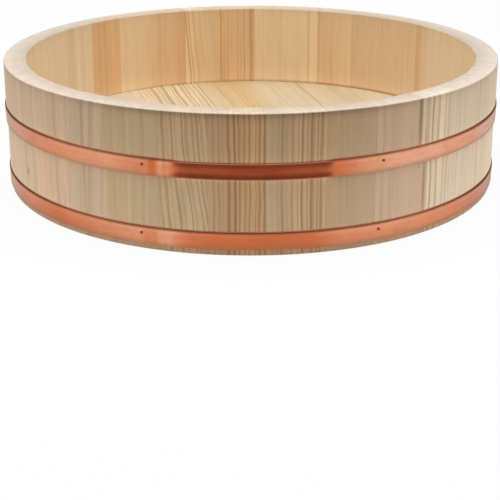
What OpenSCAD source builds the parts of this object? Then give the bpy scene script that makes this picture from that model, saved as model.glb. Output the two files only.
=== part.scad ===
// Sushi rice tub: a round coopered tub of upright staves, with a boarded bottom held in a
// groove and two copper hoops driven on from the foot. All lengths are in millimetres.
// The origin is the middle of the foot, on the table, with +Z up and -Y to the front.

/* [Wall] */
// Outside diameter of the wall at the rim
tub_d = 330; // [270:1:390]
// Height from the table to the rim
tub_h = 85; // [78:1:110]
// Thickness of the wall at the rim
wall = 14.5; // [12:0.5:20]
// Radius of the eased edges of the rim
rim_ease = 0.7; // [0.4:0.1:3]
// Bevel round the outside of the foot
foot_bevel = 1; // [0.3:0.1:1.8]
// Angle from the front, towards the right, of the joint before the first stave
first_joint_angle = 2.9; // [0:0.1:10]

/* [Bottom] */
// Height of the upper face of the bottom above the table
bottom_top = 26; // [20:0.5:30]
// Thickness of the bottom boards
bottom_thick = 12; // [9:0.5:16]
// Thickness of the tongue round the bottom
tongue_thick = 8; // [5:0.5:11]
// Depth of the croze, the groove in the staves that takes the tongue
croze_depth = 4; // [2:0.5:5]
// Room for the tongue in the croze, above it and round it
croze_clear = 0.2; // [0.1:0.05:0.5]
// Width of the middle bottom boards
board_w = 78.5; // [60:0.5:95]
// Place of the middle joint of the bottom, from the axis
board_middle = -8.5; // [-20:0.5:20]
// Turn of the bottom boards from the line of sight
board_turn = 14; // [-90:1:90]

/* [Hoops] */
// Height of a hoop, which is the width of its copper strip
hoop_h = 10; // [7:0.5:14]
// Thickness of the strip
hoop_thick = 1; // [0.5:0.1:1.5]
// Height of the lower edge of the upper hoop
upper_hoop_z = 46; // [40:0.5:54]
// Height of the lower edge of the lower hoop
lower_hoop_z = 4; // [2:0.5:10]
// Depth of the shoulder turned into the wall above each hoop
shoulder = 0.3; // [0.1:0.1:1]
// How much a hoop's seat narrows from the shoulder to the hoop's lower edge
seat_taper = 0.3; // [0.1:0.1:1]
// Gap left between a hoop and the shoulder
shoulder_gap = 0.8; // [0.2:0.1:2]
// Gap between a hoop and its seat
hoop_clear = 0.05; // [0.02:0.01:0.2]
// Length of the lap where the ends of a strip overlap
lap_length = 24; // [16:1:40]
// Angle of the middle of the lap from the front
lap_angle = 182; // [150:1:210]

/* [Nails and rivets] */
// Diameter of a nail
nail_d = 0.9; // [0.8:0.1:1.2]
// Length of a nail under its head
nail_length = 10; // [6:0.5:11]
// Length of a nail's point
nail_point = 2; // [1:0.5:4]
// Diameter of a nail's head
nail_head_d = 1.6; // [1.5:0.1:3]
// Height of a nail's head
nail_head_h = 0.4; // [0.3:0.1:0.8]
// Distance of the nails below the upper edge of a hoop
nail_drop = 3.7; // [3:0.1:5]
// Angle of the middle of the upper hoop's nails from the front
upper_nail_angle = 2.7; // [-10:0.1:10]
// Angle of the middle of the lower hoop's nails from the front
lower_nail_angle = 2.1; // [-10:0.1:10]
// Angle from there to the front nails, to both sides
front_nail_angle = 24.8; // [15:0.1:40]
// Angle from there to the back nails, to both sides
back_nail_angle = 115; // [100:1:150]
// Diameter of a lap rivet
rivet_d = 2; // [1.5:0.1:3]
// Diameter of a rivet's head
rivet_head_d = 4; // [3.5:0.1:6]
// Height of a rivet's head
rivet_head_h = 0.8; // [0.4:0.1:1.5]
// Distance between the two rivets of a lap
rivet_step = 10; // [8:0.5:12]
// Gap round a nail or a rivet, and under its head
nail_clear = 0.05; // [0.02:0.01:0.1]

/* [Pegs] */
// Diameter of the bamboo pegs
peg_d = 4; // [3:0.5:5]
// Length of a peg between two staves
stave_peg = 16; // [10:1:20]
// Height of the lower pegs above the bottom
peg_rise = 11; // [6:0.5:12]
// Distance of the upper pegs below the rim
peg_drop = 15; // [8:0.5:18]
// Length of a peg between two bottom boards
board_peg = 30; // [16:1:40]
// Distance of the outer pegs from the ends of a bottom joint
board_peg_inset = 45; // [35:1:60]
// Gap round a peg and at each of its ends
peg_clear = 0.05; // [0.02:0.01:0.2]

/* [Hidden] */
// Widths of the staves round the outside, from the front towards the right. Cut by eye as a
// cooper does, they are fitted to the girth of the tub when the ring is closed.
stave_widths = [
    35, 31, 36, 29, 30, 32, 32, 31, 32, 32, 32,
    35, 33, 32, 28, 28, 30, 31, 32, 31, 30, 32,
    31, 30, 30, 30, 29, 31, 36, 31, 35, 29, 33
];
stave_count = len(stave_widths);

// Radii of the wall inside, at the rim, between the hoops and at the foot
rim_r = tub_d / 2;
inner_r = rim_r - wall;
waist_r = rim_r - shoulder - seat_taper;
foot_r = waist_r - shoulder - seat_taper;
seat_h = hoop_h + shoulder_gap;

// The bottom: its underside, its tongue and the joints between its boards
bottom_under = bottom_top - bottom_thick;
tongue_under = bottom_top - tongue_thick;
tongue_r = inner_r + croze_depth - croze_clear;
cheek_r = inner_r - croze_clear;
bevel_r = cheek_r - (tongue_under - bottom_under);
board_joints = [board_middle - board_w, board_middle, board_middle + board_w];
board_edges = concat([-tub_d], board_joints, [tub_d]);
board_count = len(board_edges) - 1;

// Pegs: radius and heights of the stave pegs, height of the board pegs, diameter of their holes
peg_r = rim_r - wall / 2;
peg_heights = [bottom_top + peg_rise, tub_h - peg_drop];
board_peg_z = bottom_top - bottom_thick / 2;
peg_hole_d = peg_d + 2 * peg_clear;

lap_turn = lap_length / rim_r * 180 / PI;
rivet_turn = rivet_step / rim_r * 180 / PI;

spruce = [0.86, 0.74, 0.58];
copper = [0.84, 0.52, 0.38];
steel = [0.35, 0.28, 0.25];
bamboo = [0.80, 0.70, 0.42];

function stave_name(i) = str("stave_", i < 9 ? "0" : "", i + 1);
function board_name(i) = str("bottom_board_", i + 1);

$fa = 2;
$fs = 0.4;

// The sum of the first n values of a list.
function sum_of(values, n) = n == 0 ? 0 : values[n - 1] + sum_of(values, n - 1);

// The angle of the joint before stave i, from the front towards the right.
function joint_angle(i) =
    first_joint_angle + 360 * sum_of(stave_widths, i) / sum_of(stave_widths, stave_count);

// The radius of a hoop's seat at a height above the hoop's lower edge, below a wall of radius above_r.
function seat_r(above_r, height) = above_r - shoulder - seat_taper * (1 - height / seat_h);

// The radius of a strip's inner face there.
function strip_r(above_r, height) = seat_r(above_r, height) + hoop_clear;

// Turns what lies along +X to an angle from the front, towards the right.
module at_angle(angle) {
    rotate([0, 0, angle - 90])
        children();
}

// What is taken off a corner at the origin, right and above, to round it.
module corner_waste(radius) {
    difference() {
        translate([-radius, -radius])
            square(2 * radius);
        translate([-radius, -radius])
            circle(radius);
    }
}

// Upright section of the wall: foot, seat of the lower hoop, waist, seat of the upper hoop and rim,
// with the croze on the inside.
module stave_section() {
    difference() {
        polygon([
            [inner_r, 0],
            [foot_r - foot_bevel, 0],
            [foot_r, foot_bevel],
            [foot_r, lower_hoop_z],
            [waist_r - shoulder, lower_hoop_z + seat_h],
            [waist_r, lower_hoop_z + seat_h],
            [waist_r, upper_hoop_z],
            [rim_r - shoulder, upper_hoop_z + seat_h],
            [rim_r, upper_hoop_z + seat_h],
            [rim_r, tub_h],
            [inner_r, tub_h]
        ]);
        translate([inner_r - croze_depth, tongue_under])
            square([2 * croze_depth, tongue_thick + croze_clear]);
        translate([rim_r, tub_h])
            corner_waste(rim_ease);
        translate([inner_r, tub_h])
            mirror([1, 0])
                corner_waste(rim_ease);
    }
}

// The two pegs, or their holes, across the joint before stave i.
module stave_peg_pair(i, diameter, length) {
    at_angle(joint_angle(i))
        for (z = peg_heights)
            translate([peg_r, 0, z])
                rotate([90, 0, 0])
                    cylinder(h = length, d = diameter, center = true);
}

// Places a nail, pointing out along +Z, at each nail of the hoop whose lower edge is at hoop_z.
module at_nails(hoop_z, above_r, middle_angle) {
    height = hoop_h - nail_drop;
    for (side = [-1, 1], turn = [front_nail_angle, back_nail_angle])
        at_angle(middle_angle + side * turn)
            translate([strip_r(above_r, height) + hoop_thick + nail_clear, 0, hoop_z + height])
                rotate([0, 90, 0])
                    children();
}

module at_upper_nails() {
    at_nails(upper_hoop_z, rim_r, upper_nail_angle)
        children();
}

module at_lower_nails() {
    at_nails(lower_hoop_z, waist_r, lower_nail_angle)
        children();
}

// The hole that a nail makes.
module nail_hole() {
    translate([0, 0, -nail_length - nail_clear])
        cylinder(h = nail_length + 2 * hoop_thick, d = nail_d + 2 * nail_clear);
}

module nail() {
    translate([0, 0, -nail_length])
        cylinder(h = nail_point, d1 = nail_clear, d2 = nail_d);
    translate([0, 0, nail_point - nail_length])
        cylinder(h = nail_length - nail_point, d = nail_d);
    cylinder(h = nail_head_h, d1 = nail_head_d, d2 = nail_d);
}

// Places a rivet, pointing out along +Z, at both rivets of a lap, from the strip's inner face.
module at_rivets(hoop_z, above_r) {
    for (side = [-1, 1])
        at_angle(lap_angle + side * rivet_turn / 2)
            translate([strip_r(above_r, hoop_h / 2), 0, hoop_z + hoop_h / 2])
                rotate([0, 90, 0])
                    children();
}

module rivet() {
    lap_thick = 2 * hoop_thick;
    translate([0, 0, nail_clear])
        cylinder(h = lap_thick, d = rivet_d);
    translate([0, 0, lap_thick + nail_clear])
        cylinder(h = rivet_head_h, d1 = rivet_head_d, d2 = rivet_d);
}

// One stave, with the peg holes in both of its edges and its share of the nail holes.
module stave(i) {
    color(spruce)
        difference() {
            at_angle(joint_angle(i))
                rotate_extrude(angle = joint_angle(i + 1) - joint_angle(i))
                    stave_section();
            stave_peg_pair(i, peg_hole_d, stave_peg + 2 * peg_clear);
            stave_peg_pair(i + 1, peg_hole_d, stave_peg + 2 * peg_clear);
            at_upper_nails()
                nail_hole();
            at_lower_nails()
                nail_hole();
        }
}

// The whole bottom: a disc with a tongue round it and a bevel below the tongue.
module bottom_disc() {
    rotate_extrude()
        polygon([
            [0, bottom_under],
            [bevel_r, bottom_under],
            [cheek_r, tongue_under],
            [tongue_r, tongue_under],
            [tongue_r, bottom_top],
            [0, bottom_top]
        ]);
}

// The three pegs, or their holes, across each joint of the bottom.
module all_board_pegs(diameter, length) {
    rotate([0, 0, board_turn])
        for (x = board_joints, side = [-1, 0, 1])
            translate([x, side * (sqrt(cheek_r ^ 2 - x ^ 2) - board_peg_inset), board_peg_z])
                rotate([0, 90, 0])
                    cylinder(h = length, d = diameter, center = true);
}

module bottom_board(i) {
    color(spruce)
        difference() {
            intersection() {
                bottom_disc();
                rotate([0, 0, board_turn])
                    translate([board_edges[i], -tub_d, 0])
                        cube([board_edges[i + 1] - board_edges[i], 2 * tub_d, tub_h]);
            }
            all_board_pegs(peg_hole_d, board_peg + 2 * peg_clear);
        }
}

// Upright section of one or more layers of strip, from the layer numbered first, with a margin
// above and below the strip's edges.
module strip_section(hoop_z, above_r, first, layers, margin = 0) {
    low = strip_r(above_r, -margin) + first * hoop_thick;
    high = strip_r(above_r, hoop_h + margin) + first * hoop_thick;
    polygon([
        [low, hoop_z - margin],
        [low + layers * hoop_thick, hoop_z - margin],
        [high + layers * hoop_thick, hoop_z + hoop_h + margin],
        [high, hoop_z + hoop_h + margin]
    ]);
}

// A copper strip bent round its tapered seat. Its ends overlap in a lap at the back: two layers
// there, and one layer in the rest of the round.
module hoop(hoop_z, above_r, middle_angle) {
    color(copper)
        difference() {
            rotate_extrude()
                strip_section(hoop_z, above_r, 0, 2);
            at_angle(lap_angle + lap_turn / 2)
                rotate_extrude(angle = 360 - lap_turn)
                    strip_section(hoop_z, above_r, 1, 2, margin = hoop_thick);
            at_nails(hoop_z, above_r, middle_angle)
                nail_hole();
            at_rivets(hoop_z, above_r)
                translate([0, 0, -hoop_thick])
                    cylinder(h = 4 * hoop_thick, d = rivet_d + 2 * nail_clear);
        }
}

module upper_hoop() {
    hoop(upper_hoop_z, rim_r, upper_nail_angle);
}

module lower_hoop() {
    hoop(lower_hoop_z, waist_r, lower_nail_angle);
}

module upper_hoop_nails() {
    color(steel)
        at_upper_nails()
            nail();
}

module lower_hoop_nails() {
    color(steel)
        at_lower_nails()
            nail();
}

module upper_hoop_rivets() {
    color(copper)
        at_rivets(upper_hoop_z, rim_r)
            rivet();
}

module lower_hoop_rivets() {
    color(copper)
        at_rivets(lower_hoop_z, waist_r)
            rivet();
}

module stave_pegs() {
    color(bamboo)
        for (i = [0 : stave_count - 1])
            stave_peg_pair(i, peg_d, stave_peg);
}

module bottom_pegs() {
    color(bamboo)
        all_board_pegs(peg_d, board_peg);
}

for (i = [0 : stave_count - 1])
    stave(i);
for (i = [0 : board_count - 1])
    bottom_board(i);
upper_hoop();
lower_hoop();
upper_hoop_nails();
lower_hoop_nails();
upper_hoop_rivets();
lower_hoop_rivets();
stave_pegs();
bottom_pegs();
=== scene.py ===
"""Looks of the sushi rice tub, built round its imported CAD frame.

Lengths are in metres. The origin is the middle of the foot, with +Z up and -Y to the front.
Angles round the tub run from the front towards the right.
"""

import random
from math import atan2, cos, degrees, exp, hypot, pi, radians, sin, sqrt

import bmesh
import bpy
import numpy as np
from mathutils import Matrix, Vector


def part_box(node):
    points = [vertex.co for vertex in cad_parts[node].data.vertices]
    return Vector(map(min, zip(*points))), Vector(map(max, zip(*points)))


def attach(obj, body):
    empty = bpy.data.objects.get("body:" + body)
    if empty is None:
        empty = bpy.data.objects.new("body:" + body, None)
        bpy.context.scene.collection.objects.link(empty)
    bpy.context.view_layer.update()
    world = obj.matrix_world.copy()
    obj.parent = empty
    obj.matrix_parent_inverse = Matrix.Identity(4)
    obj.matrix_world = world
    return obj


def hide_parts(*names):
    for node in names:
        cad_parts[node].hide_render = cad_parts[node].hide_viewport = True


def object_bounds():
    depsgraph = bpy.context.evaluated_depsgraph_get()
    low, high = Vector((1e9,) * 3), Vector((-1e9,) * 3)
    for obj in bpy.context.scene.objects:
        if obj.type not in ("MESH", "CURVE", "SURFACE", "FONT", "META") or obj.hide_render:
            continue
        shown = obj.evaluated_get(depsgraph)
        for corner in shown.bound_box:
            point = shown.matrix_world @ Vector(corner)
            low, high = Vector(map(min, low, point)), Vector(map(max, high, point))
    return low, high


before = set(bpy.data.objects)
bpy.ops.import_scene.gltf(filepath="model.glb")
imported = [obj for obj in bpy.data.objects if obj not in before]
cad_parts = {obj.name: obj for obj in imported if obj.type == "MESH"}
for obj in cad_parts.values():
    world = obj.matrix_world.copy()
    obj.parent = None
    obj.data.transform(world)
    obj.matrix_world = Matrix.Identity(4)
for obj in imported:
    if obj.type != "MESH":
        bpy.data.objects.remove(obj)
cad_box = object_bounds()
scene = bpy.context.scene

MM = 0.001

# The wall's section, as in the CAD model
SHOULDER = 0.3 * MM
SEAT_TAPER = 0.3 * MM
SHOULDER_GAP = 0.8 * MM
RIM_EASE = 0.7 * MM
FOOT_BEVEL = 1.0 * MM
CROZE_DEPTH = 4.0 * MM
CROZE_LOW = 18.0 * MM
CROZE_HIGH = 26.2 * MM

# How far the gap above a hoop opens towards the tub's sides, and the share of it that is closed
# in the stretch of the upper hoop where a dark reflection is painted
SIDE_GAP = {"upper_hoop": 0.45 * MM, "lower_hoop": 0.25 * MM}
CLOSED_SHARE = 0.85

# How far the staves' edges are eased at a joint, inwards and round the tub, and how far at most a
# stave's face and its rim lie inside the CAD solid
JOINT_EASE = 0.10 * MM
JOINT_EASE_WIDTH = 0.14 * MM
FACE_PLAY = 0.10 * MM
RIM_PLAY = 0.12 * MM
STAVE_STEPS = 18

# The bottom and its boards
BOTTOM_CLEAR = 0.2 * MM
BOARD_TURN = radians(14)
BOARD_JOINTS = [-87.0 * MM, -8.5 * MM, 70.0 * MM]
BOARD_EASE = 0.25 * MM
BOARD_STEPS = 48

# The hoops, their nails and their rivets
STRIP_THICK = 1.0 * MM
HOOP_CLEAR = 0.05 * MM
STRIP_EDGE = 0.28 * MM
STRIP_WAVE = 0.04 * MM
LAP_ANGLE = radians(182)
LAP_LENGTH = 24.0 * MM
LAP_RISE = 7.0 * MM
DIMPLE_DEPTH = 0.22 * MM
DIMPLE_RADIUS = 1.5 * MM
NAIL_DROP = 3.7 * MM
NAIL_RADIUS = 0.45 * MM
NAIL_HEAD_RADIUS = 0.8 * MM
NAIL_HEAD_HEIGHT = 0.4 * MM
NAIL_LENGTH = 10.0 * MM
NAIL_POINT = 2.0 * MM
RIVET_STEP = 10.0 * MM
RIVET_RADIUS = 1.0 * MM
RIVET_HEAD_RADIUS = 2.0 * MM
RIVET_HEAD_HEIGHT = 0.8 * MM

# Sizes read from the frame
STAVES = sorted(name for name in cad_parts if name.startswith("stave_") and name[-1].isdigit())
BOARDS = sorted(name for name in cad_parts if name.startswith("bottom_board_"))
HOOPS = {"upper_hoop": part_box("upper_hoop"), "lower_hoop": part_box("lower_hoop")}
HOOP_LOW = {name: box[0].z for name, box in HOOPS.items()}
HOOP_HIGH = {name: box[1].z for name, box in HOOPS.items()}
HEIGHT = cad_box[1][2]
BOTTOM_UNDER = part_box(BOARDS[0])[0].z
BOTTOM_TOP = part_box(BOARDS[0])[1].z


def node_points(name):
    """The points of a CAD node, one row each."""
    return np.array([v.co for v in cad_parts[name].data.vertices])


def distances(points):
    """How far points lie from the tub's axis."""
    return np.hypot(points[:, 0], points[:, 1])


RIM_R = float(max(distances(node_points(name)).max() for name in STAVES))
INNER_R = float(min(distances(node_points(name)).min() for name in STAVES))
WAIST_R = RIM_R - SHOULDER - SEAT_TAPER
FOOT_R = WAIST_R - SHOULDER - SEAT_TAPER
HOOP_TOP_R = {"upper_hoop": RIM_R, "lower_hoop": WAIST_R}


def linear(red, green, blue):
    """The linear colour of an sRGB colour given in steps of 255."""

    def channel(step):
        value = step / 255
        return value / 12.92 if value <= 0.04045 else ((value + 0.055) / 1.055) ** 2.4

    return (channel(red), channel(green), channel(blue))


def polar(angle, radius, z):
    """A point at an angle from the front, towards the right."""
    return Vector((radius * sin(angle), -radius * cos(angle), z))


def turn_between(a, b):
    """The angle from b to a, the shorter way round."""
    return (a - b + pi) % (2 * pi) - pi


def eased_step(value, low, high):
    """Rises smoothly from 0 at low to 1 at high."""
    part = min(max((value - low) / (high - low), 0), 1)
    return part * part * (3 - 2 * part)


# Angles from the front, in degrees, between which the upper hoop's painted dark reflection begins and
# ends
DARK_REFLECTION_FROM = (-16.8, -13.6)
DARK_REFLECTION_TO = (14.8, 17.0)


def dark_reflection(hoop, angle):
    """How much an angle lies in a hoop's stretch of painted dark reflection. Only the upper one has it.
    """
    if hoop != "upper_hoop":
        return 0.0
    front = degrees(turn_between(angle, 0))
    return eased_step(front, *DARK_REFLECTION_FROM) * (1 - eased_step(front, *DARK_REFLECTION_TO))


def beside_front(angle):
    """How much an angle lies at the tub's left or right side."""
    return eased_step(abs(sin(angle)), 0.5, 0.95)


# Meshes

def arc(centre, radius, start, end, steps):
    """Points of an arc in the (radius, height) plane. Angles are in degrees."""
    points = []
    for k in range(steps + 1):
        angle = radians(start + (end - start) * k / steps)
        points.append((centre[0] + radius * cos(angle), centre[1] + radius * sin(angle)))
    return points


def inset(outline, distance):
    """A closed outline, drawn anticlockwise, moved inwards by a distance at each point."""
    moved = []
    count = len(outline)
    for k, point in enumerate(outline):
        before = Vector(outline[k - 1])
        after = Vector(outline[(k + 1) % count])
        here = Vector(point)
        first = (here - before).normalized()
        second = (after - here).normalized()
        normal = Vector((-first.y - second.y, first.x + second.x)).normalized()
        moved.append(tuple(here + normal * distance))
    return moved


def skin(name, columns, cap=None):
    """A closed mesh through columns, which are closed outlines of as many points each. The cap
    lists the faces of an end, as the numbers of an outline's points, if it isn't one face."""
    count = len(columns[0])
    cap = cap or [tuple(range(count))]
    points = [point for column in columns for point in column]
    faces = []
    for c in range(len(columns) - 1):
        for k in range(count):
            a = c * count + k
            b = c * count + (k + 1) % count
            faces.append((a, b, b + count, a + count))
    last = len(points) - count
    faces += cap
    faces += [tuple(last + k for k in face) for face in cap]
    mesh = bpy.data.meshes.new(name)
    mesh.from_pydata(points, [], faces)
    return mesh


def finished(mesh, sharp_angle):
    """Turns the faces of a mesh outwards, and shades it smooth but for its sharp edges."""
    shape = bmesh.new()
    shape.from_mesh(mesh)
    bmesh.ops.recalc_face_normals(shape, faces=shape.faces)
    shape.to_mesh(mesh)
    shape.free()
    mesh.polygons.foreach_set("use_smooth", [True] * len(mesh.polygons))
    mesh.set_sharp_from_angle(angle=radians(sharp_angle))
    mesh.update()
    return mesh


def new_object(data):
    """A new object in the scene, named as its data are."""
    thing = bpy.data.objects.new(data.name, data)
    scene.collection.objects.link(thing)
    return thing


def piece(mesh, material, node):
    """An object that stands for a CAD node and rides with the tub."""
    thing = new_object(mesh)
    mesh.materials.append(material)
    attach(thing, "root")
    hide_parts(node)
    return thing


def write_vectors(mesh, name, values):
    """Stores a vector for each point of a mesh, for its material to read."""
    attribute = mesh.attributes.new(name, "FLOAT_VECTOR", "POINT")
    attribute.data.foreach_set("vector", np.asarray(values, np.float32).ravel())


# Materials

class Tree:
    """Short ways to build a node tree. A value is a number, a colour or another node's output."""

    def __init__(self, owner):
        owner.use_nodes = True
        self.owner = owner
        self.tree = owner.node_tree
        self.tree.nodes.clear()

    def node(self, kind, inputs=None, **settings):
        made = self.tree.nodes.new(kind)
        for key, value in settings.items():
            setattr(made, key, value)
        for key, value in (inputs or {}).items():
            self.feed(made.inputs[key], value)
        return made

    def feed(self, socket, value):
        if isinstance(value, bpy.types.NodeSocket):
            self.tree.links.new(value, socket)
        elif socket.type == "RGBA":
            socket.default_value = (*value, 1.0)
        else:
            socket.default_value = value

    def math(self, operation, a, b=0.0, c=0.0, clamp=False):
        settings = {"operation": operation, "use_clamp": clamp}
        return self.node("ShaderNodeMath", {0: a, 1: b, 2: c}, **settings).outputs[0]

    def times(self, a, b, clamp=False):
        return self.math("MULTIPLY", a, b, clamp=clamp)

    def line(self, value, slope, base, clamp=False):
        """A value times a slope, plus a base."""
        return self.math("MULTIPLY_ADD", value, slope, base, clamp=clamp)

    def step(self, value, low, high):
        """Rises smoothly from 0 at low to 1 at high."""
        inputs = {"Value": value, "From Min": low, "From Max": high}
        return self.node("ShaderNodeMapRange", inputs, interpolation_type="SMOOTHSTEP").outputs[0]

    def spread(self, value, low, high):
        """Spreads a value between 0 and 1 from low to high."""
        inputs = {"Value": value, "To Min": low, "To Max": high}
        return self.node("ShaderNodeMapRange", inputs).outputs[0]

    def noise(self, vector, scale, detail=2.0):
        inputs = {"Vector": vector, "Scale": scale, "Detail": detail}
        return self.node("ShaderNodeTexNoise", inputs).outputs[0]

    def mix(self, factor, a, b, blend="MIX"):
        inputs = {"Factor": factor, 6: a, 7: b}
        settings = {"data_type": "RGBA", "blend_type": blend}
        return self.node("ShaderNodeMix", inputs, **settings).outputs[2]

    def tinted(self, colour, tint, factor=1.0):
        """A colour times a tint or a node's number, as far as a factor between 0 and 1 says."""
        return self.mix(factor, colour, tint, blend="MULTIPLY")

    def attribute(self, name):
        return self.node("ShaderNodeAttribute", attribute_name=name).outputs["Vector"]

    def split(self, vector):
        return self.node("ShaderNodeSeparateXYZ", {0: vector}).outputs

    def join(self, x, y, z):
        return self.node("ShaderNodeCombineXYZ", {0: x, 1: y, 2: z}).outputs[0]

    def length(self, x, y):
        """How far a point is from the middle of a plane."""
        return self.math("POWER", self.math("ADD", self.times(x, x), self.times(y, y)), 0.5)

    def bump(self, height, strength, distance):
        inputs = {"Height": height, "Strength": strength, "Distance": distance}
        return self.node("ShaderNodeBump", inputs).outputs[0]

    def surface(self, shader):
        """Ends a material's tree in a shader, and gives the material back."""
        self.node("ShaderNodeOutputMaterial", {"Surface": shader.outputs[0]})
        return self.owner

    def principled(self, inputs):
        return self.surface(self.node("ShaderNodeBsdfPrincipled", inputs))


# Tints of wood, with painted shade for the croze corner and the bottom's dark board joints, painted light
# near a round edge, and the colour of the painted shade in a hoop's gap
COOL_TINT = (0.97, 1.01, 1.05)
WARM_TINT = (1.03, 0.99, 0.95)
LATEWOOD_TINT = (0.58, 0.49, 0.37)
DUCT_TINT = (0.62, 0.50, 0.40)
MARK_TINT = (0.52, 0.48, 0.39)
CORNER_SHADE_AND_JOINT_TINT = (0.54, 0.44, 0.28)
EDGE_LIGHT_TINT = (1.08, 1.09, 1.10)
ROUND_EDGE_WIDTH = 20.0 * MM
GAP_SHADE_COLOUR = (0.60, 0.27, 0.13)


def years_from_pith(t, x, y, stretched, ring_width, seed):
    """How many years a place lies from the pith. The rings wander, and the years differ in width."""
    wander = t.math("SUBTRACT", t.noise(stretched(0.16), scale=42.0, detail=1.0), 0.5)
    waver = t.math("SUBTRACT", t.noise(stretched(0.7), scale=60.0, detail=1.0), 0.5)
    radius = t.line(wander, 4 * MM, t.length(x, y))
    radius = t.line(waver, 2 * MM, radius)
    years = t.math("DIVIDE", radius, ring_width)
    inputs = {"W": t.math("ADD", years, seed), "Scale": 0.55, "Detail": 1.0}
    uneven = t.node("ShaderNodeTexNoise", inputs, noise_dimensions="1D").outputs[0]
    return t.line(t.math("SUBTRACT", uneven, 0.5), 1.5, years)


def latewood(t, years, seed, contrast, late_from, late_full):
    """How far a place is in its year's latewood. Dry years have more of it, and the weaker the
    contrast is, the fewer years have any."""
    season = t.math("FRACT", years)
    growing = t.step(season, late_from, late_full)
    ended = t.step(season, late_full + 0.1, 1.0)
    late = t.times(growing, t.math("SUBTRACT", 1.0, ended))
    year = t.math("ADD", t.math("FLOOR", years), seed)
    dryness = t.node("ShaderNodeTexWhiteNoise", {"W": year}, noise_dimensions="1D").outputs[0]
    rarity = t.math("MAXIMUM", t.line(contrast, -3.0, 3.4), 0.4)
    return t.times(late, t.math("POWER", t.spread(dryness, 0.35, 1.0), rarity))


def wood_material(name, late_from, late_full, round_edge=None):
    """Planed softwood, whose latewood grows in from one share of the year to another. A point's
    grain is its place from the tree's pith, along the fibre in z. Its look is the width of a year's
    ring, the strength of the dark latewood and a seed. Its tone is its colour, and its place how far
    it is in the painted shade of a hoop's gap, which is darker still above 1, on end grain and in the
    painted shade of a corner or a dark board joint. Its mark is its way from a dark mark, across and
    along, and the mark's strength there. Near a round edge, given by its radius, the wood is paler
    with painted light."""
    t = Tree(bpy.data.materials.new(name))
    x, y, along = t.split(t.attribute("grain"))
    ring_width, contrast, seed = t.split(t.attribute("look"))
    tone = t.attribute("tone")
    gap_shade, end_grain, corner = t.split(t.attribute("place"))
    mark_across, mark_along, mark_strength = t.split(t.attribute("mark"))
    shifted_x = t.math("ADD", x, seed)

    def stretched(share):
        """A place in the wood whose way along the fibre is cut to a share, to draw patterns out."""
        return t.join(shifted_x, y, t.times(along, share))

    # Latewood, which end grain shows less, and the dark mark, which it doesn't show
    years = years_from_pith(t, x, y, stretched, ring_width, seed)
    late = latewood(t, years, seed, contrast, late_from, late_full)
    shown = t.times(contrast, t.line(end_grain, -0.8, 1.0))
    late = t.times(late, shown, clamp=True)
    mark = t.math("SUBTRACT", 1.0, t.step(t.length(mark_across, mark_along), 0.1, 1.0))
    mark_strength = t.times(mark_strength, t.math("SUBTRACT", 1.0, end_grain))
    mark = t.times(mark, mark_strength)

    # Fibres, short resin ducts, broad streaks, clouds and the mottle of end grain
    fine = t.noise(stretched(0.02), scale=2600.0)
    ducts = t.step(t.noise(stretched(0.03), scale=900.0, detail=0.0), 0.70, 0.80)
    streaks = t.math("SUBTRACT", t.noise(stretched(0.10), scale=110.0), 0.5)
    streaky = t.line(contrast, 0.34, 0.12)
    clouds = t.noise(stretched(0.45), scale=36.0)
    mottle = t.math("SUBTRACT", t.noise(stretched(0.0), scale=240.0, detail=3.0), 0.5)
    mottle = t.times(mottle, end_grain)

    colour = t.mix(clouds, t.tinted(tone, COOL_TINT), t.tinted(tone, WARM_TINT))
    colour = t.tinted(colour, t.line(streaks, streaky, 1.0))
    colour = t.tinted(colour, t.spread(fine, 0.93, 1.07))
    colour = t.tinted(colour, t.line(contrast, 0.18, 1.0))
    colour = t.tinted(colour, t.line(mottle, 0.32, 1.0))
    colour = t.tinted(colour, LATEWOOD_TINT, late)
    colour = t.tinted(colour, DUCT_TINT, t.times(ducts, 0.22))
    colour = t.tinted(colour, MARK_TINT, mark)
    # Painted light: the bottom is paler near its round edge by the wall
    if round_edge:
        side, front = t.split(t.node("ShaderNodeTexCoord").outputs["Object"])[:2]
        edge_light = t.step(t.length(side, front), round_edge - ROUND_EDGE_WIDTH, round_edge)
        colour = t.tinted(colour, EDGE_LIGHT_TINT, edge_light)
    # Painted shade in the croze corner, and the dark joints between the bottom's boards
    colour = t.tinted(colour, CORNER_SHADE_AND_JOINT_TINT, t.times(corner, 0.75))
    # Painted shade in the gap above a hoop, darker still where the value passes 1
    colour = t.mix(gap_shade, colour, GAP_SHADE_COLOUR)
    deep = t.math("SUBTRACT", gap_shade, 1.0, clamp=True)
    colour = t.tinted(colour, t.line(deep, -0.65, 1.0))

    rough = t.line(fine, 0.16, 0.50)
    rough = t.line(late, -0.08, rough)
    height = t.line(late, 0.55, fine)
    height = t.line(ducts, -0.5, height)
    return t.principled({
        "Base Color": colour,
        "Roughness": rough,
        "Specular IOR Level": 0.28,
        "Normal": t.bump(height, strength=0.22, distance=0.12 * MM),
    })


# Copper from pale to dull, each from its light clouds to its dark ones, its marks, and the painted shade,
# highlight and reflection of its edges
PALE_COPPER = ((0.85, 0.460, 0.310), (0.80, 0.400, 0.255))
CLEAN_COPPER = ((0.82, 0.370, 0.220), (0.76, 0.300, 0.158))
WARM_COPPER = ((0.70, 0.215, 0.087), (0.62, 0.165, 0.060))
DULL_COPPER = ((0.37, 0.080, 0.034), (0.29, 0.056, 0.022))
HIGHLIGHT_COPPER = (0.87, 0.44, 0.28)
SMUDGE_COLOUR = (0.50, 0.16, 0.075)
SPECK_COLOUR = (0.26, 0.075, 0.035)
UPPER_EDGE_SHADE_COLOUR = (0.28, 0.095, 0.04)
LOWER_EDGE_SHADE_COLOURS = ((0.50, 0.27, 0.15), (0.46, 0.165, 0.07))
GRAZING_TINT = (0.60, 0.84, 0.95)


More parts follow.
